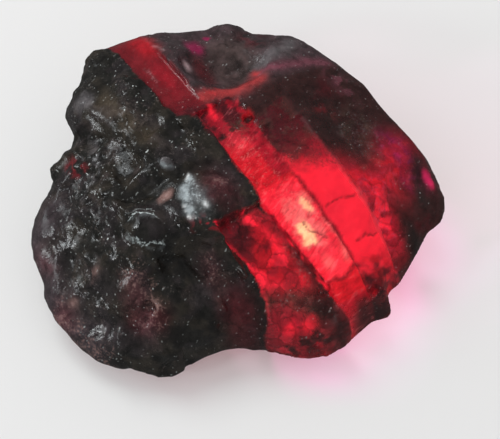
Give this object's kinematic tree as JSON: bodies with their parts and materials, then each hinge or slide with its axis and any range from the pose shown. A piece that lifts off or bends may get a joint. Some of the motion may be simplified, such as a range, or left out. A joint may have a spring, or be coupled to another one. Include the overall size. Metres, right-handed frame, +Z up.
{
  "type": "rough ruby",
  "caption": "Rough uncut ruby lying flat: dark lumpy crust on the left, flat see-through red layers stepping down the middle, smooth dark face on the right.",
  "frame": {"origin": "middle of the stone's width and depth, on the plane that it lies on", "axes": "+Z up, +X to the right along the stone's longest side, +Y to the back, away from the viewer"},
  "size_m": [0.03, 0.0269, 0.0111],
  "materials": {
    "ruby": "glossy broken crystal: see-through bright red layers, and a near-black crust with small glints and pale grains"
  },
  "bodies": {
    "root": {"ruby": "ruby"}
  },
  "joints": []
}
